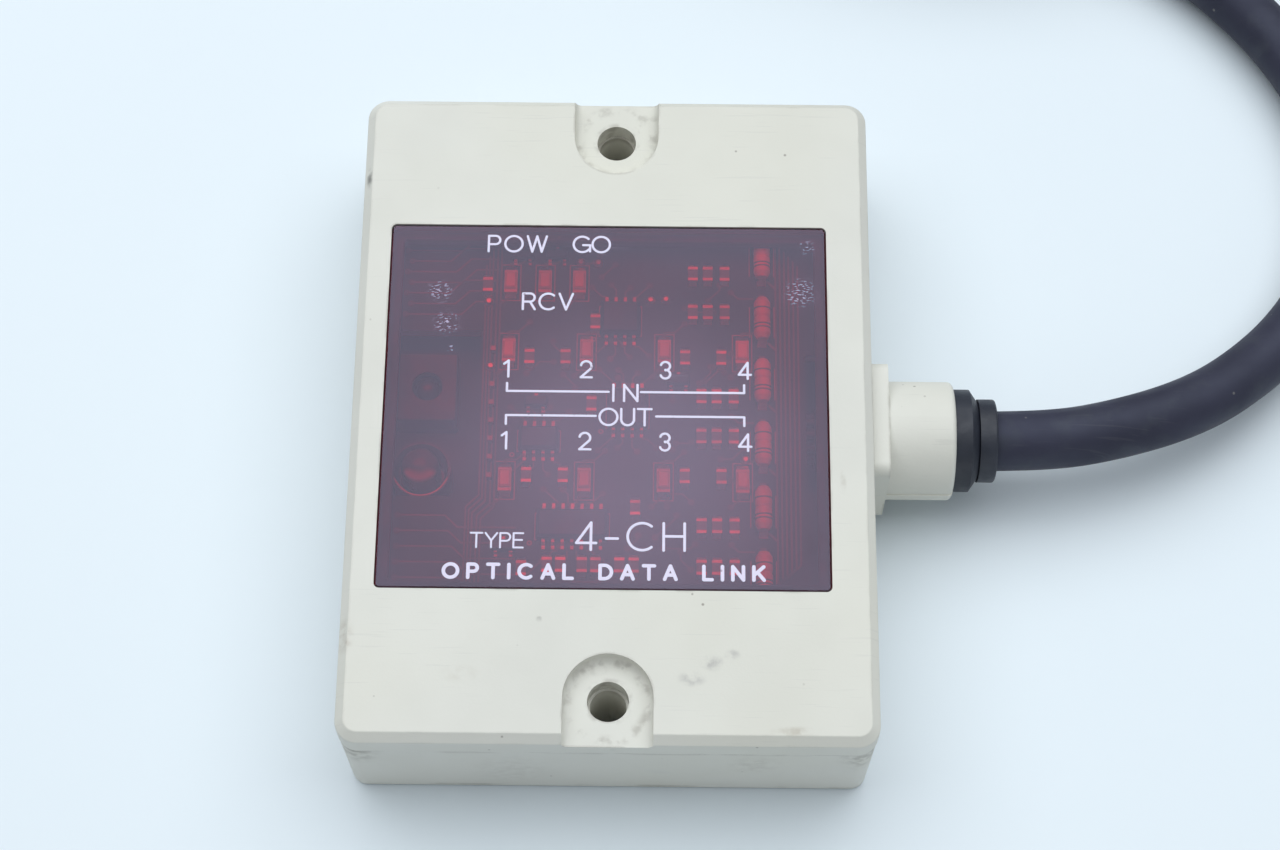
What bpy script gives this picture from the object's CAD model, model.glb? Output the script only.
import math
import random

import bpy
from mathutils import Euler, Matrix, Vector


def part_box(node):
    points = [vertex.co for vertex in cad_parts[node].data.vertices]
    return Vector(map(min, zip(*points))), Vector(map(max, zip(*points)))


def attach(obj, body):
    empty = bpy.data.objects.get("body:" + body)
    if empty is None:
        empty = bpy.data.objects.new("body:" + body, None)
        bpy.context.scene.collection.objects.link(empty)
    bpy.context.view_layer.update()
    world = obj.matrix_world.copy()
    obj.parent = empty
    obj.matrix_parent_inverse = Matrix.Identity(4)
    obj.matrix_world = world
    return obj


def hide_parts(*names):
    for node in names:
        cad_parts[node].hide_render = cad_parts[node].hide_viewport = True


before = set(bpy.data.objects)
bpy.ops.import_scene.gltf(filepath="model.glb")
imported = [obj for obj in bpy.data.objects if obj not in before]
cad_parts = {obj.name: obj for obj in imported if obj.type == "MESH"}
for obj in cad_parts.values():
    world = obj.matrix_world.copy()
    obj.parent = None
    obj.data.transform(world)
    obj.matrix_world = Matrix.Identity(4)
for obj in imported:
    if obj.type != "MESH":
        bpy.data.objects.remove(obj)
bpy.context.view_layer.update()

MM = 0.001


def metres(*mm):
    return tuple(v * MM for v in mm)


# ---------------------------------------------------------------- the studio
CAMERA_PLACE = (0.0047955, -0.1435328, 0.3399956)
CAMERA_TURN = (23.770, -0.032, 0.593)     # degrees about X, Y and Z
CAMERA_LENS, SENSOR_W = 77.934, 36.0      # mm


def make_camera():
    data = bpy.data.cameras.new("camera")
    data.lens, data.sensor_width, data.sensor_fit = CAMERA_LENS, SENSOR_W, "HORIZONTAL"
    data.clip_start, data.clip_end = 0.01, 20
    camera = bpy.data.objects.new("camera", data)
    camera.location = CAMERA_PLACE
    camera.rotation_euler = Euler([math.radians(a) for a in CAMERA_TURN])
    bpy.context.scene.collection.objects.link(camera)
    bpy.context.scene.camera = camera


# Soft boxes: where, size, tilt about X in degrees, watts, colour.
PANEL = ((0.0, 0.48, 1.1), (2.4, 1.5), -16.0, 20.8, (0.96, 1.0, 1.03))
FRONT_FILL = ((0.15, -1.2, 0.16), (1.4, 0.3), 82.0, 1.5, (0.97, 1.0, 1.02))
SKY_COLOUR, SKY_STRENGTH = (0.93, 1.0, 1.08), 0.28


def make_lights():
    for name, (place, size, tilt, watts, colour) in (("panel", PANEL), ("front_fill", FRONT_FILL)):
        data = bpy.data.lights.new(name, "AREA")
        data.shape = "RECTANGLE"
        data.size, data.size_y = size
        data.energy, data.color = watts, colour
        light = bpy.data.objects.new(name, data)
        light.location = place
        light.rotation_euler = Euler((math.radians(tilt), 0, 0))
        bpy.context.scene.collection.objects.link(light)
    world = bpy.data.worlds.new("sky")
    world.use_nodes = True
    sky = world.node_tree.nodes["Background"]
    sky.inputs["Color"].default_value = (*SKY_COLOUR, 1)
    sky.inputs["Strength"].default_value = SKY_STRENGTH
    bpy.context.scene.world = world
    bpy.context.scene.view_settings.view_transform = "Standard"


# ---------------------------------------------------------------- shader helper
MIX_COLOUR_A, MIX_COLOUR_B, MIX_COLOUR_OUT = 6, 7, 2      # the Mix node's colour sockets, by place


class Shader:
    """A material being made, with short ways to add nodes to it. Each method gives a socket."""

    def __init__(self, name):
        self.material = bpy.data.materials.new(name)
        self.material.use_nodes = True
        self.tree = self.material.node_tree
        self.tree.nodes.clear()
        self.place = self.node("ShaderNodeTexCoord").outputs["Object"]

    def node(self, kind, settings=None, **inputs):
        made = self.tree.nodes.new(kind)
        for key, value in (settings or {}).items():
            setattr(made, key, value)
        for key, value in inputs.items():
            self.put(made.inputs[key.replace("_", " ")], value)
        return made

    def put(self, socket, value):
        if isinstance(value, bpy.types.NodeSocket):
            self.tree.links.new(value, socket)
        elif isinstance(value, tuple) and len(value) == 3 and socket.type == "RGBA":
            socket.default_value = (*value, 1)
        else:
            socket.default_value = value

    def math(self, operation, a, b=0.0):
        made = self.node("ShaderNodeMath", {"operation": operation})
        self.put(made.inputs[0], a)
        self.put(made.inputs[1], b)
        return made.outputs[0]

    def times(self, *factors):
        product = factors[0]
        for factor in factors[1:]:
            product = self.math("MULTIPLY", product, factor)
        return product

    def most(self, *values):
        top = values[0]
        for value in values[1:]:
            top = self.math("MAXIMUM", top, value)
        return top

    def step(self, value, start, end, low=0.0, high=1.0):
        """A smooth change from low to high while value goes from start to end."""
        made = self.node("ShaderNodeMapRange", {"interpolation_type": "SMOOTHSTEP"})
        for socket, given in zip(made.inputs, (value, start, end, low, high)):
            self.put(socket, given)
        return made.outputs[0]

    def near(self, value, middle, half):
        """1 where value is middle, fading to 0 at half away from it."""
        return self.step(self.math("ABSOLUTE", self.math("SUBTRACT", value, middle)), 0.0, half, 1.0, 0.0)

    def mix(self, factor, a, b):
        """Colour a where factor is 0, colour b where it is 1."""
        made = self.node("ShaderNodeMix", {"data_type": "RGBA"})
        self.put(made.inputs["Factor"], factor)
        self.put(made.inputs[MIX_COLOUR_A], a)
        self.put(made.inputs[MIX_COLOUR_B], b)
        return made.outputs[MIX_COLOUR_OUT]

    def turned(self, centre, turn, scale=(1.0, 1.0, 1.0)):
        """The place, from centre, turned about Z by turn degrees and then scaled."""
        offset = self.node("ShaderNodeVectorMath", {"operation": "SUBTRACT"})
        self.put(offset.inputs[0], self.place)
        self.put(offset.inputs[1], centre)
        return self.node("ShaderNodeMapping", Vector=offset.outputs[0], Scale=scale,
                         Rotation=(0, 0, math.radians(turn))).outputs[0]

    def noise(self, size, detail=3.0, rough=0.5, at=None):
        """Cloudy noise about 0.5. size is its grain in metres."""
        return self.node("ShaderNodeTexNoise", Vector=at or self.place, Scale=1 / size, Detail=detail,
                         Roughness=rough).outputs[0]

    def cells(self, size):
        """The distance to the nearest of many random points, in grains of size metres."""
        return self.node("ShaderNodeTexVoronoi", Vector=self.place, Scale=1 / size).outputs["Distance"]

    def axis(self, name):
        """The place along X, Y or Z."""
        return self.node("ShaderNodeSeparateXYZ", Vector=self.place).outputs[name]

    def length(self, vector):
        """How long a vector is."""
        made = self.node("ShaderNodeVectorMath", {"operation": "LENGTH"})
        self.put(made.inputs[0], vector)
        return made.outputs["Value"]

    def spot(self, centre, radius, soft=0.4, flat=(1.0, 1.0, 1.0), turn=0.0):
        """1 near centre, fading to 0 at radius. A flat over 1 shortens the spot along that axis."""
        return self.step(self.length(self.turned(centre, turn, flat)), radius * soft, radius, 1.0, 0.0)

    def scratches(self, size, turn, sparse=0.68):
        """Fine, broken hairlines that run along one direction."""
        fine = self.noise(size, 2, 0.4, self.turned((0.0, 0.0, 0.0), turn, (1.0, 22.0, 1.0)))
        gaps = self.step(self.noise(size * 2.5), 0.45, 0.6)
        return self.times(self.step(fine, sparse, sparse + 0.05), gaps)

    def edges(self, radius):
        """1 on convex and concave edges of the shape, 0 on its faces."""
        soft = self.node("ShaderNodeBevel", {"samples": 4}, Radius=radius).outputs[0]
        plain_normal = self.node("ShaderNodeNewGeometry").outputs["Normal"]
        dot = self.node("ShaderNodeVectorMath", {"operation": "DOT_PRODUCT"})
        self.put(dot.inputs[0], soft)
        self.put(dot.inputs[1], plain_normal)
        return self.step(dot.outputs["Value"], 0.995, 0.9)

    def bump(self, height, distance):
        return self.node("ShaderNodeBump", Height=height, Distance=distance).outputs[0]

    def principled(self, **inputs):
        return self.node("ShaderNodeBsdfPrincipled", **inputs).outputs[0]

    def blend(self, factor, a, b):
        made = self.node("ShaderNodeMixShader", Fac=factor)
        self.put(made.inputs[1], a)
        self.put(made.inputs[2], b)
        return made.outputs[0]

    def done(self, surface):
        output = self.node("ShaderNodeOutputMaterial")
        self.put(output.inputs["Surface"], surface)
        return self.material


def shaded(colour, factor):
    return tuple(min(1.0, c * factor) for c in colour)


# ---------------------------------------------------------------- materials
CREAM = (0.715, 0.705, 0.64)
GRIME = (0.14, 0.11, 0.075)


def floor_material():
    s = Shader("floor")
    cloudy = s.mix(s.noise(0.25, 2), (0.755, 0.825, 0.87), (0.79, 0.86, 0.90))
    return s.done(s.principled(Base_Color=cloudy, Roughness=s.step(s.noise(0.004), 0.3, 0.7, 0.37, 0.40)))


def plain(name, colour, roughness, metallic=0.0, grain=0.4, depth=0.02, spread=0.12, **more):
    """A small part's finish: cloudy colour, a fine grain and specks of dust. grain and depth are in mm."""
    s = Shader(name)
    cloud = s.step(s.noise(12 * grain * MM, 4), 0.3, 0.7)
    base = s.mix(cloud, shaded(colour, 1 - spread), shaded(colour, 1 + spread))
    dust = s.times(s.step(s.cells(5 * grain * MM), 0.12, 0.05), s.step(s.noise(20 * grain * MM), 0.45, 0.6))
    base = s.mix(s.times(dust, 0.35), base, (0.3, 0.28, 0.25))
    shine = s.step(s.noise(5 * grain * MM, 3), 0.3, 0.7, roughness * 0.8, min(1.0, roughness * 1.2))
    return s.done(s.principled(Base_Color=base, Roughness=shine, Metallic=metallic,
                               Normal=s.bump(s.noise(grain * MM, 2), depth * MM), **more))


# Marks on the moulded shell: where (mm), radius (mm), colour, strength, how much shortened along X and Y,
# and turned by how many degrees.
COVER_MARKS = [
    ((-32.3, 32.5, 19.9), 1.7, (0.05, 0.045, 0.04), 0.9, (3.0, 0.8), 0),
    ((-32.2, -31.2, 19.9), 2.2, (0.30, 0.22, 0.15), 0.6, (1.6, 0.8), 0),
    ((-8.56, -28.86, 20.5), 0.5, (0.10, 0.09, 0.08), 0.8, (1.0, 1.0), 0),
    ((10.2, -36.3, 20.5), 2.1, (0.30, 0.29, 0.29), 0.75, (1.0, 1.6), 35),
    ((12.7, -34.3, 20.5), 1.8, (0.30, 0.29, 0.29), 0.75, (1.0, 1.4), 60),
    ((15.0, -33.2, 20.5), 1.3, (0.30, 0.29, 0.29), 0.7, (1.0, 1.4), 20),
    ((22.5, -42.9, 20.3), 3.0, (0.36, 0.30, 0.22), 0.55, (0.8, 3.5), 0),
    ((29.0, -10.0, 20.5), 1.4, (0.42, 0.38, 0.31), 0.45, (2.5, 0.6), 0),
    ((-18.0, -36.0, 20.5), 3.0, (0.50, 0.46, 0.38), 0.35, (1.0, 2.0), 30),
]
CASE_MARKS = [
    ((-31.0, -44.0, 15.4), 3.2, GRIME, 0.6, (0.8, 1.0), 0),
    ((31.4, -43.8, 15.2), 3.4, GRIME, 0.6, (0.8, 1.0), 0),
    ((-12.0, -44.1, 8.0), 4.0, (0.42, 0.39, 0.33), 0.3, (0.7, 1.0), 0),
    ((18.0, -44.1, 11.0), 2.5, (0.35, 0.31, 0.26), 0.3, (0.6, 1.0), 0),
    ((33.0, -30.0, 6.0), 4.0, (0.40, 0.37, 0.32), 0.5, (1.0, 0.7), 0),
    ((-33.0, 12.0, 9.0), 5.0, (0.42, 0.39, 0.34), 0.45, (1.0, 0.7), 0),
    ((-20.0, 30.0, 0.0), 8.0, (0.40, 0.38, 0.34), 0.45, (1.0, 1.6), 25),
    ((17.0, -28.0, 0.0), 7.0, (0.38, 0.36, 0.32), 0.5, (1.7, 1.0), 40),
]


def under_window(s):
    """1 inside the shell behind the window, where the ledge and the walls are masked black."""
    low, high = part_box("window_filter")
    below = s.step(s.axis("Z"), low.z + 0.02 * MM, low.z - 0.02 * MM)
    above_the_back = s.step(s.axis("Z"), 1.3 * MM, 1.6 * MM)
    inside = s.times(below, above_the_back)
    for axis, a, b in (("X", low.x, high.x), ("Y", low.y, high.y)):
        away = s.math("ABSOLUTE", s.math("SUBTRACT", s.axis(axis), (a + b) / 2))
        inside = s.times(inside, s.step(away, (b - a) / 2 + 0.2 * MM, (b - a) / 2))
    return inside


def moulded(name, marks, grime):
    """The shell's cream plastic. grime adds dirt that is the part's own, as a factor from 0 to 1."""
    s = Shader(name)
    base = s.mix(s.step(s.noise(0.018, 4), 0.3, 0.7), shaded(CREAM, 0.97), shaded(CREAM, 1.015))
    base = s.mix(s.step(s.noise(0.045, 2), 0.42, 0.72, 0.0, 0.5), base, (0.70, 0.685, 0.59))
    specks = s.times(s.step(s.cells(0.0032), 0.075, 0.03), s.step(s.noise(0.011), 0.48, 0.6), 0.7)
    base = s.mix(specks, base, (0.20, 0.17, 0.14))
    hair = s.most(s.scratches(0.009, 25), s.scratches(0.012, -50), s.scratches(0.010, 84))
    base = s.mix(s.times(hair, 0.12), base, (0.42, 0.41, 0.39))
    rubbed = s.step(s.noise(0.0013, 5), 0.34, 0.70)
    for place, radius, colour, strength, flat, turn in marks:
        spot = s.spot(metres(*place), radius * MM, 0.2, (*flat, 0.5), turn)
        base = s.mix(s.times(spot, rubbed, 0.75 * strength), base, colour)
    corners = s.times(s.edges(0.0005), s.step(s.noise(0.005), 0.46, 0.62), 0.4)
    base = s.mix(s.most(corners, grime(s)), base, GRIME)
    base = s.mix(under_window(s), base, (0.02, 0.02, 0.022))
    shine = s.step(s.noise(0.006, 4), 0.3, 0.7, 0.42, 0.56)
    shine = s.mix(s.times(hair, 0.6), shine, (0.3, 0.3, 0.3))
    texture = s.math("ADD", s.noise(0.00035, 2), s.times(hair, -0.12))
    return s.done(s.principled(Base_Color=base, Roughness=shine, Normal=s.bump(texture, 0.012 * MM)))


HOLE_Y, RECESS_Z = 38.75, 18.6
RECESS_STAINS = [((4.2, 41.0, RECESS_Z), 2.6), ((-1.5, -33.6, 19.0), 2.2), ((4.6, -36.0, 19.0), 1.8)]
LEVEL = (1.0, 1.0, 0.0)      # a scale that measures distances in plan


def recess_grime(s):
    """Dirt in the fillet round each mounting hole's recess, round the hole, and in a few stains."""
    low = s.step(s.axis("Z"), 19.7 * MM, 18.7 * MM)
    patches = s.step(s.noise(0.0016, 4), 0.45, 0.68)
    rings = []
    for side in (-1, 1):
        away = s.length(s.turned(metres(0, side * HOLE_Y, RECESS_Z), 0, LEVEL))
        rings.append(s.most(s.near(away, 5.0 * MM, 1.1 * MM), s.near(away, 2.6 * MM, 0.7 * MM)))
    stains = s.most(*(s.spot(metres(*place), radius * MM) for place, radius in RECESS_STAINS))
    return s.times(s.most(*rings, stains), low, patches, 0.34)


def seam_grime(s):
    """Dirt along the seam under the cover, and low on the walls."""
    seam = s.step(s.axis("Z"), 14.6 * MM, 16.0 * MM)
    foot = s.times(s.near(s.axis("Z"), 0.9 * MM, 0.8 * MM), 0.6)
    return s.times(s.most(seam, foot), s.step(s.noise(0.006, 4), 0.40, 0.66), 0.55)


def emitter_material():
    """Smoky lens plastic, with the pale band moulded round the front of its dome."""
    s = Shader("lens_plastic")
    base = s.mix(s.step(s.noise(0.002, 3), 0.3, 0.7), (0.07, 0.04, 0.08), (0.12, 0.06, 0.12))
    low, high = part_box("emitter_led")
    middle = (low.y + high.y) / 2
    band = s.near(s.axis("Z"), 16.2 * MM, 1.0 * MM)
    front = s.step(s.axis("Y"), middle - 0.6 * MM, middle - 1.5 * MM)
    base = s.mix(s.times(band, front, 0.9), base, (0.80, 0.76, 0.72))
    return s.done(s.principled(Base_Color=base, Roughness=s.step(s.noise(0.001), 0.3, 0.7, 0.14, 0.22),
                               Normal=s.bump(s.noise(0.0006, 2), 0.01 * MM)))


def holder_material():
    """Black plastic whose flared ring is polished bright at its front, as a crescent."""
    s = Shader("holder_plastic")
    low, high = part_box("emitter_holder")
    x, y = (low.x + high.x) / 2, (low.y + high.y) / 2
    base = s.mix(s.step(s.noise(0.002, 3), 0.3, 0.7), (0.040, 0.036, 0.040), (0.060, 0.055, 0.060))
    flare = s.step(s.length(s.turned((x, y, 0.0), 0, LEVEL)), 3.75 * MM, 3.5 * MM)
    front = s.step(s.length(s.turned((x, y + 2.0 * MM, 0.0), 0, LEVEL)), 4.5 * MM, 4.8 * MM)
    base = s.mix(s.times(flare, front), base, (0.84, 0.80, 0.78))
    return s.done(s.principled(Base_Color=base, Roughness=s.step(s.noise(0.001), 0.3, 0.7, 0.30, 0.42),
                               Normal=s.bump(s.noise(0.0006, 2), 0.01 * MM)))


def ink_material():
    s = Shader("legend_ink")
    base = s.mix(s.noise(0.002, 3), (0.74, 0.68, 0.84), (0.80, 0.74, 0.90))
    worn = s.times(s.step(s.cells(0.0013), 0.16, 0.08), s.step(s.noise(0.006), 0.5, 0.6), 0.6)
    return s.done(s.principled(Base_Color=s.mix(worn, base, (0.2, 0.1, 0.16)), Roughness=0.5,
                               Normal=s.bump(s.noise(0.0004, 2), 0.01 * MM)))


def board_material():
    """Green solder mask over a woven laminate, with pale bare edges."""
    s = Shader("circuit_board")
    weave = s.noise(0.0006, 1, 0.3, s.turned((0.0, 0.0, 0.0), 0, (1.0, 0.35, 1.0)))
    base = s.mix(s.step(s.noise(0.009, 3), 0.3, 0.7), (0.050, 0.125, 0.052), (0.072, 0.16, 0.070))
    base = s.mix(s.step(weave, 0.5, 0.75, 0.0, 0.3), base, (0.07, 0.19, 0.09))
    normal = s.node("ShaderNodeNewGeometry").outputs["Normal"]
    upright = s.node("ShaderNodeSeparateXYZ", Vector=normal).outputs["Z"]
    edge = s.step(s.math("ABSOLUTE", upright), 0.6, 0.3)
    base = s.mix(edge, base, (0.36, 0.32, 0.17))
    return s.done(s.principled(Base_Color=base, Roughness=s.step(weave, 0.3, 0.7, 0.5, 0.65),
                               Specular_IOR_Level=0.12, Normal=s.bump(weave, 0.03 * MM)))


def jacket_material():
    """Black cable jacket, dulled by handling, with grey dust and light scuffs."""
    s = Shader("cable_jacket")
    base = s.mix(s.step(s.noise(0.012, 4), 0.3, 0.7), (0.027, 0.027, 0.044), (0.037, 0.037, 0.060))
    dust = s.times(s.step(s.noise(0.0035, 5), 0.5, 0.72), 0.4)
    base = s.mix(dust, base, (0.050, 0.054, 0.066))
    scuff = s.most(s.scratches(0.008, 12, 0.66), s.scratches(0.006, 71, 0.68))
    base = s.mix(s.times(scuff, 0.12), base, (0.12, 0.12, 0.125))
    specks = s.times(s.step(s.cells(0.004), 0.07, 0.03), 0.7)
    base = s.mix(specks, base, (0.20, 0.19, 0.18))
    shine = s.step(s.noise(0.005, 4), 0.3, 0.7, 0.50, 0.64)
    return s.done(s.principled(Base_Color=base, Roughness=shine, Specular_IOR_Level=0.42,
                               Specular_Tint=(0.72, 0.80, 1.0), Normal=s.bump(s.noise(0.0011, 3), 0.03 * MM)))


def screw_material():
    """Zinc-plated steel, bright on its edges and stained in its recess."""
    s = Shader("steel_screw")
    base = s.mix(s.step(s.noise(0.0012, 4), 0.35, 0.7), (0.46, 0.45, 0.42), (0.62, 0.61, 0.57))
    base = s.mix(s.times(s.step(s.noise(0.0007, 4), 0.55, 0.7), 0.6), base, (0.24, 0.19, 0.13))
    base = s.mix(s.times(s.edges(0.0002), 0.5), base, (0.75, 0.74, 0.72))
    shine = s.step(s.noise(0.0009), 0.3, 0.7, 0.28, 0.45)
    return s.done(s.principled(Base_Color=base, Metallic=1.0, Roughness=shine,
                               Normal=s.bump(s.noise(0.0003, 2), 0.01 * MM)))


def label_material():
    """A blank metallised label: brushed, rubbed dull at its corners."""
    s = Shader("label_film")
    brushed = s.noise(0.0008, 2, 0.4, s.turned((0.0, 0.0, 0.0), 0, (0.04, 1.0, 1.0)))
    base = s.mix(brushed, (0.55, 0.55, 0.54), (0.70, 0.70, 0.69))
    worn = s.times(s.step(s.noise(0.007, 5), 0.52, 0.68), 0.7)
    base = s.mix(worn, base, (0.40, 0.38, 0.34))
    base = s.mix(s.times(s.scratches(0.006, 33, 0.64), 0.7), base, (0.82, 0.82, 0.82))
    return s.done(s.principled(Base_Color=base, Metallic=0.55, Roughness=s.step(brushed, 0.3, 0.7, 0.3, 0.48),
                               Normal=s.bump(brushed, 0.008 * MM)))


# The window: where its face is worn white, and where it is smudged dark (mm, and a radius).
WINDOW_WEAR = [((-22.4, 15.8), 2.2), ((-21.4, 11.3), 2.4), ((24.0, 16.0), 3.0), ((24.9, 22.6), 1.6),
               ((-20.6, 7.6), 0.9)]
WINDOW_SMUDGES = [((24.6, 5.0), 3.4), ((25.8, -19.0), 4.2), ((-25.5, 20.5), 3.5)]
WINDOW_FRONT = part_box("window_filter")[1].z
WINDOW_TINT, HAZE, COATING = (0.94, 0.05, 0.12), (0.62, 0.47, 0.68), (0.82, 0.74, 1.0)
COATING_IOR = 1.73
PALE_PLACE, PALE_R, PALE_HAZE = (2.0, -8.0), 30.0, 0.12      # the broad pale middle, in mm, and how hazy


def on_window(place):
    return place[0] * MM, place[1] * MM, WINDOW_FRONT


def window_material():
    """Deep red acrylic that reflects the studio, with a thin dusty haze on its face."""
    s = Shader("filter_acrylic")
    colour = s.mix(s.step(s.noise(0.03, 2), 0.3, 0.7), WINDOW_TINT, shaded(WINDOW_TINT, 0.94))
    tint = s.node("ShaderNodeBsdfTransparent", Color=colour).outputs[0]
    face = s.step(s.axis("Z"), WINDOW_FRONT - 0.4 * MM, WINDOW_FRONT - 0.2 * MM)
    middle = s.spot(on_window(PALE_PLACE), PALE_R * MM, 0.15, (1.0, 1.15, 1.0))
    dust = s.math("ADD", s.step(s.noise(0.02, 5), 0.25, 0.75, 0.0, 0.025), s.times(middle, PALE_HAZE))
    for place, radius in WINDOW_SMUDGES:
        smudge = s.times(s.spot(on_window(place), radius * MM, 0.1), s.step(s.noise(0.0016, 4), 0.4, 0.6))
        dust = s.times(dust, s.math("SUBTRACT", 1.0, s.times(smudge, 0.85)))
    flecks = s.noise(0.0005, 4, 0.5, s.turned((0.0, 0.0, 0.0), -25, (1.0, 2.4, 1.0)))
    chipped = s.step(flecks, 0.55, 0.62)
    for place, radius in WINDOW_WEAR:
        wear = s.times(s.spot(on_window(place), radius * MM, 0.1), chipped, 0.7)
        dust = s.most(dust, wear)
    hair = s.most(s.scratches(0.007, 15, 0.7), s.scratches(0.011, -60, 0.7))
    dust = s.math("ADD", dust, s.times(hair, 0.05))
    haze = s.principled(Base_Color=s.mix(s.noise(0.012, 3), HAZE, shaded(HAZE, 1.1)), Roughness=0.6)
    body = s.blend(s.times(face, dust), tint, haze)
    shine = s.step(s.noise(0.01, 4), 0.3, 0.7, 0.1, 0.15)
    gloss = s.node("ShaderNodeBsdfGlossy", Color=COATING, Roughness=shine)
    mirror = s.times(s.node("ShaderNodeFresnel", IOR=COATING_IOR).outputs[0], face)
    return s.done(s.blend(mirror, body, gloss.outputs[0]))


SHIELD, SOLDER, PACKAGE = (0.075, 0.07, 0.07), (0.62, 0.61, 0.58), (0.022, 0.022, 0.024)
LEAD, LAMP, NYLON = (0.48, 0.48, 0.47), (0.84, 0.80, 0.72), (0.74, 0.71, 0.60)

FINISHES = {
    "front_cover": lambda: moulded("cover_plastic", COVER_MARKS, recess_grime),
    "rear_case": lambda: moulded("case_plastic", CASE_MARKS, seam_grime),
    "case_gasket": lambda: plain("seal_rubber", (0.03, 0.03, 0.035), 0.7),
    "window_adhesive": lambda: plain("adhesive_tape", (0.02, 0.02, 0.024), 0.6),
    "window_legend": ink_material,
    "main_board": board_material,
    "transceiver_board": board_material,
    "status_leds": lambda: plain("lamp_body", LAMP, 0.5),
    "input_leds": lambda: plain("lamp_body", LAMP, 0.5),
    "output_leds": lambda: plain("lamp_body", LAMP, 0.5),
    "led_lenses": lambda: plain("lamp_lens", (0.84, 0.40, 0.30), 0.3),
    "chip_resistors": lambda: plain("chip_ceramic", (0.17, 0.12, 0.11), 0.45),
    "chip_terminals": lambda: plain("solder", SOLDER, 0.45, 1.0),
    "solder_joints": lambda: plain("solder", (0.66, 0.65, 0.62), 0.34, 1.0),
    "melf_resistors": lambda: plain("resistor_body", (0.86, 0.56, 0.42), 0.36),
    "resistor_bands": lambda: plain("resistor_band", (0.10, 0.04, 0.03), 0.4),
    "logic_chips": lambda: plain("chip_epoxy", PACKAGE, 0.55),
    "transistors": lambda: plain("chip_epoxy", PACKAGE, 0.55),
    "voltage_regulator": lambda: plain("chip_epoxy", PACKAGE, 0.55),
    "chip_leads": lambda: plain("lead_tin", LEAD, 0.42, 1.0),
    "transistor_leads": lambda: plain("lead_tin", LEAD, 0.42, 1.0),
    "optocoupler_leads": lambda: plain("lead_tin", LEAD, 0.42, 1.0),
    "electrolytic_capacitors": lambda: plain("capacitor_can", (0.7, 0.7, 0.72), 0.3, 1.0),
    "optocouplers": lambda: plain("coupler_epoxy", (0.7, 0.7, 0.66), 0.5),
    "receiver_can": lambda: plain("shield_steel", SHIELD, 0.6, 0.6),
    "receiver_lens": lambda: plain("lens_plastic", (0.02, 0.015, 0.03), 0.15),
    "emitter_led": emitter_material,
    "emitter_holder": holder_material,
    "link_pins": lambda: plain("pin_brass", (0.30, 0.24, 0.15), 0.5, 0.9),
    "wire_header": lambda: plain("connector_nylon", NYLON, 0.5),
    "wire_plug": lambda: plain("connector_nylon", NYLON, 0.5),
    "core_wires": lambda: plain("core_insulation", (0.1, 0.2, 0.5), 0.45),
    "cable_clamp": lambda: plain("clamp_nylon", (0.7, 0.7, 0.68), 0.5),
    "cable_entry": jacket_material,
    "cable_grommet": lambda: plain("grommet_rubber", (0.021, 0.025, 0.038), 0.5, 0.0, 0.5, 0.03, 0.2),
    "case_screws": screw_material,
    "board_screws": screw_material,
    "blank_label": label_material,
    "window_filter": window_material,
}


def dress(obj, material):
    obj.data.materials.clear()
    obj.data.materials.append(material)


# ---------------------------------------------------------------- the cable, in mm and degrees
CABLE_D = 7.8
CABLE_EXIT = (49.4, 0, 10.0)
CABLE_ROUTE = [
    CABLE_EXIT, (56.9, 0.1, 10.0), (65.4, 1.8, 9.9), (74.4, 5.0, 9.1), (81.8, 9.6, 7.6),
    (90.9, 18.3, 5.2), (97.2, 28.8, 4.1), (99.8, 40.4, 3.95), (98.6, 52.5, 3.95), (93.5, 63.4, 3.95),
    (85.5, 73.4, 3.95), (75.7, 81.7, 4.0), (64.0, 86.9, 4.2)]
COIL_X, COIL_Y, COIL_START = 51.3, 139.0, 270.0
COIL_PITCH, COIL_MIDDLE_R = 7.9, 41.0
LAYER_TURNS, CLIMB, LAST_TURNS = 2.375, 0.25, 1.625
COIL_TURNS = 2 * (LAYER_TURNS + CLIMB) + LAST_TURNS
COIL_OUTER_R = COIL_MIDDLE_R + COIL_PITCH * LAYER_TURNS / 2
COIL_BASE = 0.6
TURN_POINTS = 24

# The cores lie in two rings in the jacket (radius, how many), and outside it in rows of five, four and three.
CORE_R, TIP_R, CORE_PITCH = 0.6, 0.34, 1.25
CORE_RINGS, CORE_COUNTS = ((2.75, 9), (1.05, 3)), (5, 4, 3)
# Degrees round the coil: what is seen of the cores, what of that is bare, what is in the jacket, and where
# they part.
CORE_SWEEP, STRIPPED, CORE_TUCK, CORE_SPREAD = 58.0, 6.0, 2.0, 13.0
CORE_STEPS = 12
CORE_COLOURS = [
    (0.02, 0.02, 0.022), (0.62, 0.61, 0.57), (0.50, 0.02, 0.02), (0.02, 0.22, 0.05), (0.62, 0.45, 0.02),
    (0.02, 0.08, 0.42), (0.15, 0.06, 0.02), (0.60, 0.16, 0.01), (0.18, 0.04, 0.28), (0.24, 0.24, 0.25),
    (0.62, 0.25, 0.28), (0.10, 0.40, 0.50)]

TIE_ANGLES, TIE_W, TIE_T, TIE_POINTS = (35.0, 150.0, 217.0), 5.0, 0.45, 64


def smooth(t):
    t = max(0.0, min(1.0, t))
    return t * t * (3 - 2 * t)


def round_coil(r, angle, z):
    return COIL_X + r * math.cos(angle), COIL_Y + r * math.sin(angle), z


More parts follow.
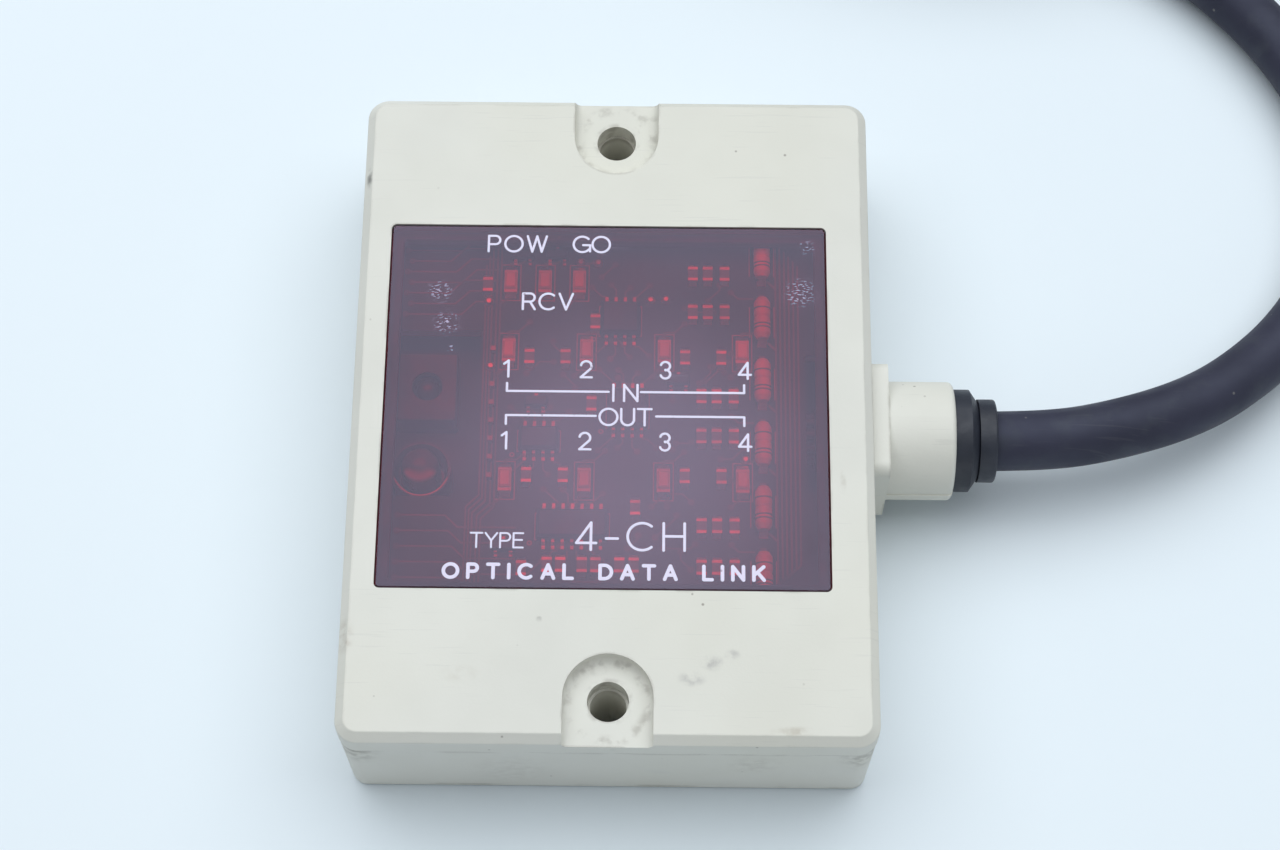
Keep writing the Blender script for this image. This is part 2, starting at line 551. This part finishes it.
def coil_at(turns):
    """The coil's radius, height and angle after so many turns: in, a climb, out, a climb, and in again."""
    stage = LAYER_TURNS + CLIMB
    inward = min(turns, LAYER_TURNS) + max(0.0, turns - 2 * stage)
    outward = max(0.0, min(turns, stage + LAYER_TURNS) - stage)
    layer = smooth((turns - LAYER_TURNS) / CLIMB) + smooth((turns - stage - LAYER_TURNS) / CLIMB)
    r = COIL_OUTER_R - COIL_PITCH * (inward - outward)
    return r, COIL_BASE + CABLE_D / 2 + COIL_PITCH * layer, math.radians(COIL_START - 360 * turns)


def coil_points():
    wide = 1 / math.cos(math.pi / TURN_POINTS)
    points = []
    for i in range(round(COIL_TURNS * TURN_POINTS) + 1):
        r, z, a = coil_at(i / TURN_POINTS)
        points.append(round_coil(r * wide, a, z))
    return points


def spline_piece(name, lines, radius, material, sides=8):
    """Round cords, each along one smooth open spline through its line of points. Everything is in mm."""
    data = bpy.data.curves.new(name, "CURVE")
    data.dimensions = "3D"
    data.bevel_depth, data.bevel_resolution = 1.0, sides
    data.resolution_u = 10
    data.use_fill_caps = True
    for points in lines:
        spline = data.splines.new("NURBS")
        spline.points.add(len(points) - 1)
        for point, p in zip(spline.points, points):
            point.co = (*metres(*p), 1)
            point.radius = radius * MM
        spline.order_u = 3
        spline.use_endpoint_u = True
    piece = bpy.data.objects.new(name, data)
    bpy.context.scene.collection.objects.link(piece)
    return fitted(piece, material)


def fitted(piece, material):
    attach(piece, "root")
    dress(piece, material)
    return piece


def core_places():
    """Each core's place in the jacket, outwards and upwards from its middle, and its place in its row."""
    inside = []
    for r, count in CORE_RINGS:
        angles = [2 * math.pi * (i + 0.5) / count for i in range(count)]
        inside += [(r * math.cos(a), r * math.sin(a)) for a in angles]
    inside.sort(key=lambda p: p[1])
    places = []
    for row, count in enumerate(CORE_COUNTS):
        start = sum(CORE_COUNTS[:row])
        for i, (u, v) in enumerate(sorted(inside[start:start + count])):
            across = -0.75 + CORE_PITCH * (i - (count - 1) / 2)
            up = -CABLE_D / 2 + 0.05 + CORE_R + CORE_PITCH * row
            places.append(((u, v), (across, up), 2.0 * (i % 3)))
    return places


def make_cores():
    end_r, end_z, end_a = coil_at(COIL_TURNS)
    tinned = plain("tinned_strands", (0.62, 0.60, 0.56), 0.38, 1.0, grain=0.15)
    pieces, tips = [], []
    for number, ((u0, v0), (u1, v1), shorter) in enumerate(core_places()):
        points = []
        last = CORE_SWEEP - shorter
        for step in range(CORE_STEPS + 1):
            along = -CORE_TUCK + (last - STRIPPED + CORE_TUCK) * step / CORE_STEPS
            t = smooth((along - 1.0) / CORE_SPREAD)
            sway = 0.05 * math.sin(number * 2.1 + step * 0.9) * t
            r, z = end_r + u0 + (u1 - u0) * t + sway, end_z + v0 + (v1 - v0) * t
            points.append(round_coil(r, end_a - math.radians(along), z))
        material = plain(f"core_insulation_{number + 1}", CORE_COLOURS[number], 0.42, grain=0.3)
        pieces.append(spline_piece(f"core_{number + 1}", [points], CORE_R, material, 4))
        r, z = end_r + u1, end_z + v1
        bare = (last - STRIPPED - 1, last - STRIPPED / 2, last)
        tips.append([round_coil(r, end_a - math.radians(a), z) for a in bare])
    pieces.append(spline_piece("core_tips", tips, TIP_R, tinned, 3))
    for piece in pieces:
        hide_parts("flying_leads")
    return pieces


def tie_loop(angle, reach):
    """The tie's line round the turns that cross one angle of the coil, as radius and height pairs."""
    first = ((COIL_START - angle) % 360) / 360
    turns = [first + i for i in range(math.ceil(COIL_TURNS)) if first + i <= COIL_TURNS]
    centres = [coil_at(t)[:2] for t in turns]
    loop = []
    for i in range(TIE_POINTS):
        a = 2 * math.pi * i / TIE_POINTS
        r, z = max(centres, key=lambda c: c[0] * math.cos(a) + c[1] * math.sin(a))
        loop.append((r + reach * math.cos(a), z + reach * math.sin(a)))
    return loop


def make_tie(number, angle, material):
    """A flat nylon tie round the coil: four rings of points, bridged into a band."""
    inner, outer = tie_loop(angle, CABLE_D / 2 + 0.06), tie_loop(angle, CABLE_D / 2 + TIE_T)
    a = math.radians(angle)
    verts, faces, n = [], [], len(inner)
    for loop, side in ((inner, -1), (outer, -1), (outer, 1), (inner, 1)):
        for r, z in loop:
            x, y, z = round_coil(r, a, z)
            verts.append(metres(x - side * TIE_W / 2 * math.sin(a), y + side * TIE_W / 2 * math.cos(a), z))
    for ring in range(4):
        here, there = ring * n, (ring + 1) % 4 * n
        faces += [(here + i, here + (i + 1) % n, there + (i + 1) % n, there + i) for i in range(n)]
    return mesh_piece(f"coil_tie_{number}", verts, faces, material)


def make_cable():
    material = jacket_material()
    line = CABLE_ROUTE + coil_points()
    cable = spline_piece("signal_cable", [line], CABLE_D / 2, material)
    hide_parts("cable", "cable_coil")
    nylon = plain("tie_nylon", (0.66, 0.65, 0.60), 0.42)
    ties = [make_tie(i + 1, angle, nylon) for i, angle in enumerate(TIE_ANGLES)]
    make_cores() + ties


# ---------------------------------------------------------------- print and copper on the main board, in mm
BOARD_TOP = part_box("main_board")[1].z / MM
COPPER_T, PRINT_T, PRINT_W = 0.035, 0.02, 0.14
BUNDLE_W, LINK_W, FINE_W, VIA_R, VIA_HOLE = 0.22, 0.24, 0.2, 0.42, 0.18
CHANNEL_X = [-13.6 + 10.07 * i for i in range(4)]
STATUS_X = [-13.6 + 4.48 * i for i in range(3)]
STATUS_Y, INPUT_Y, OUTPUT_Y = 19.7, 9.75, -8.35
LAMPS = [(x, STATUS_Y) for x in STATUS_X] + [(x, y) for y in (INPUT_Y, OUTPUT_Y) for x in CHANNEL_X]
RESISTORS = [(19.2, 23.1 - 8.86 * i) for i in range(6)]
# the flat packages: where, width and length
LOGIC = [(0.8, 14.2, 5.0, 4.6), (1.9, 1.5, 5.0, 5.3), (-9.4, -2.9, 5.0, 3.2), (-4.9, -14.6, 8.9, 3.9)]


def mesh_piece(name, verts, faces, material):
    mesh = bpy.data.meshes.new(name)
    mesh.from_pydata(verts, [], faces)
    mesh.update()
    piece = bpy.data.objects.new(name, mesh)
    bpy.context.scene.collection.objects.link(piece)
    return fitted(piece, material)


class Film:
    """Thin flat shapes on the main board's top, gathered into one mesh."""

    def __init__(self, thickness):
        self.z0, self.z1 = BOARD_TOP, BOARD_TOP + thickness
        self.verts, self.faces = [], []

    def strip(self, path, width):
        """A strip of this width along path, with mitred corners."""
        start, n = len(self.verts), len(path)
        closed = path[0] == path[-1]
        for i, (x, y) in enumerate(path):
            before = path[i - 1] if i else (path[-2] if closed else path[0])
            after = path[i + 1] if i + 1 < n else (path[1] if closed else path[-1])
            legs = [Vector((bx - ax, by - ay)).normalized() for (ax, ay), (bx, by) in
                    ((before, (x, y)), ((x, y), after)) if (ax, ay) != (bx, by)]
            normals = [Vector((-leg.y, leg.x)) for leg in legs]
            across = sum(normals, Vector((0, 0))).normalized()
            across *= width / 2 / max(0.4, across.dot(normals[0]))
            for sx, sy in ((x + across.x, y + across.y), (x - across.x, y - across.y)):
                self.verts += [metres(sx, sy, self.z0), metres(sx, sy, self.z1)]
        for i in range(n - 1):
            a, b = start + 4 * i, start + 4 * i + 4
            self.faces += [(a + 1, a + 3, b + 3, b + 1), (a, a + 1, b + 1, b), (a + 3, a + 2, b + 2, b + 3)]
        last = start + 4 * (n - 1)
        self.faces += [(start, start + 2, start + 3, start + 1), (last, last + 1, last + 3, last + 2)]

    def ring(self, x, y, r, hole, sides=14):
        middle = (r + hole) / 2
        angles = [2 * math.pi * (i % sides) / sides for i in range(sides + 1)]
        self.strip([(x + middle * math.cos(a), y + middle * math.sin(a)) for a in angles], r - hole)

    def frame(self, x, y, w, length, width):
        a, b = w / 2, length / 2
        self.strip([(x - a, y - b), (x + a, y - b), (x + a, y + b), (x - a, y + b), (x - a, y - b)], width)

    def piece(self, name, material, slot):
        return mesh_piece(name, self.verts, self.faces, material)


def route(a, b):
    """A track from a to b: straight out of a, then at 45 degrees."""
    (ax, ay), (bx, by) = a, b
    dx, dy = bx - ax, by - ay
    spare = abs(abs(dx) - abs(dy))
    bend = (ax + math.copysign(spare, dx), ay) if abs(dx) > abs(dy) else (ax, ay + math.copysign(spare, dy))
    return [a, b] if bend in (a, b) or spare < 0.2 else [a, bend, b]


class Tracks:
    """The board's copper tracks, and the rings of the vias that end them."""

    def __init__(self):
        self.copper, self.vias = Film(COPPER_T), Film(COPPER_T)

    def line(self, path, width=BUNDLE_W):
        self.copper.strip(path, width)

    def via(self, place):
        self.vias.ring(*place, VIA_R, VIA_HOLE)

    def link(self, a, b, width=LINK_W, via=True):
        self.line(route(a, b), width)
        if via:
            self.via(b)


def draw_bundles(tracks):
    """The parallel tracks in the two gaps between the board's parts, and the fans at its left side."""
    for i in range(5):                      # between the link's pins and the lamps
        x = -14.9 - 0.5 * i if i < 2 else -16.0 - 0.42 * (i - 2)
        tracks.line([(x, 27.5 - 1.3 * i), (x, 14.0 - 0.5 * i), (x, -12.0 + 0.4 * i),
                     (x - 1.6, -13.6 + 0.4 * i), (x - 1.6, -26.5 + i)])
    for i in range(6):                      # beside the round resistors
        x = 21.0 + 0.58 * i
        tracks.line([(x, 26.0 - 0.7 * i), (x, -22.0 + 0.5 * i), (x - 2.0, -24.0 + 0.5 * i)], LINK_W)
    for i in range(7):                      # the upper fan
        start = (-27.2 + 0.6 * (i % 2), 15.0 + 1.55 * i)
        turn = -20.0 - 0.8 * (i % 3)
        tracks.line([start, (turn, start[1]), (turn + 1.9, start[1] + 1.9), (-15.2, start[1] + 1.9)])
        tracks.via(start)
    for i in range(5):                      # the lower fan
        start = (-27.0, -13.2 - 2.1 * i)
        turn = -21.0 + 0.5 * i
        tracks.line([start, (turn, start[1]), (turn + 1.6, start[1] - 1.6), (-12.0, start[1] - 1.6)])
        tracks.via(start)


def draw_links(tracks, rng):
    """The short tracks that leave each lamp, resistor and chip, and odd ones between them."""
    for x, y in LAMPS:
        tracks.line([(x, y + 1.6), (x, y + 2.9)], 0.5)
        tracks.link((x, y + 2.9), (x + 2.6, y + 3.9 + 0.4 * rng.random()))
        tracks.link((x, y - 2.0), (x - 1.5, y - 3.4))
    for x, y in RESISTORS:
        tracks.line([(x, y + 3.1), (x, y + 4.0)], 0.8)
        tracks.link((x, y - 3.0), (x + 1.7, y - 3.9), 0.34, False)
        rise = 4.3 * (1 if y < 20 else 0.6)      # shorter above the uppermost resistor
        tracks.link((x - 1.1, y + 3.4), (x - 4.0, y + rise))
    for x, y, w, length in LOGIC:
        for side in (-1, 1):
            for i in range(4):
                spread = i - 1.5
                start = (x + 1.2 * spread, y + side * (length / 2 + 1.3))
                end = (start[0] + 1.3 * spread, start[1] + side * (1.2 + 0.7 * rng.random()))
                tracks.link(start, end, FINE_W)
    for _ in range(26):
        x, y = rng.uniform(-13, 16), rng.uniform(-23, 24)
        end = (x + rng.uniform(-4, 4), y + rng.uniform(-3.2, 3.2))
        tracks.via((x, y))
        tracks.link((x, y), end, FINE_W)


def make_tracks():
    """Copper tracks under the mask, and the dull tinned rings of the vias."""
    tracks = Tracks()
    draw_bundles(tracks)
    draw_links(tracks, random.Random(41))
    mask = plain("masked_copper", (0.17, 0.26, 0.10), 0.5, grain=0.25, Specular_IOR_Level=0.2)
    tracks.copper.piece("board_tracks", mask, "circuit_board")
    tracks.vias.piece("board_vias", plain("dull_solder", (0.14, 0.15, 0.11), 0.55, 0.6), "solder")


def make_board_print():
    """White outlines printed round the lamps, chips and resistors."""
    film = Film(PRINT_T)
    for x, y in LAMPS:
        film.frame(x, y, 2.5, 5.2, PRINT_W)
    for x, y in RESISTORS:
        for side in (x - 1.6, x + 1.6):
            film.strip([(side, y - 2.2), (side, y + 2.2)], PRINT_W)
    for x, y, w, length in LOGIC:
        film.frame(x, y, w + 0.5, length - 0.3, PRINT_W)
        film.ring(x - w / 2 - 0.9, y - length / 2 - 0.3, 0.35, 0.15)
    ink = plain("board_print", (0.40, 0.40, 0.37), 0.6, grain=0.2)
    film.piece("board_print", ink, "legend_ink")


FLOOR_HALF, FLOOR_DROP = 3.0, 0.0001      # metres


def make_floor():
    h = FLOOR_HALF
    mesh = bpy.data.meshes.new("floor")
    mesh.from_pydata([(-h, -h, 0), (h, -h, 0), (h, h, 0), (-h, h, 0)], [], [(0, 1, 2, 3)])
    floor = bpy.data.objects.new("floor", mesh)
    floor.location.z = -FLOOR_DROP
    bpy.context.scene.collection.objects.link(floor)
    dress(floor, floor_material())


make_camera()
make_lights()
make_cable()
make_floor()
for node, make in FINISHES.items():
    dress(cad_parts[node], make())
make_tracks()
make_board_print()
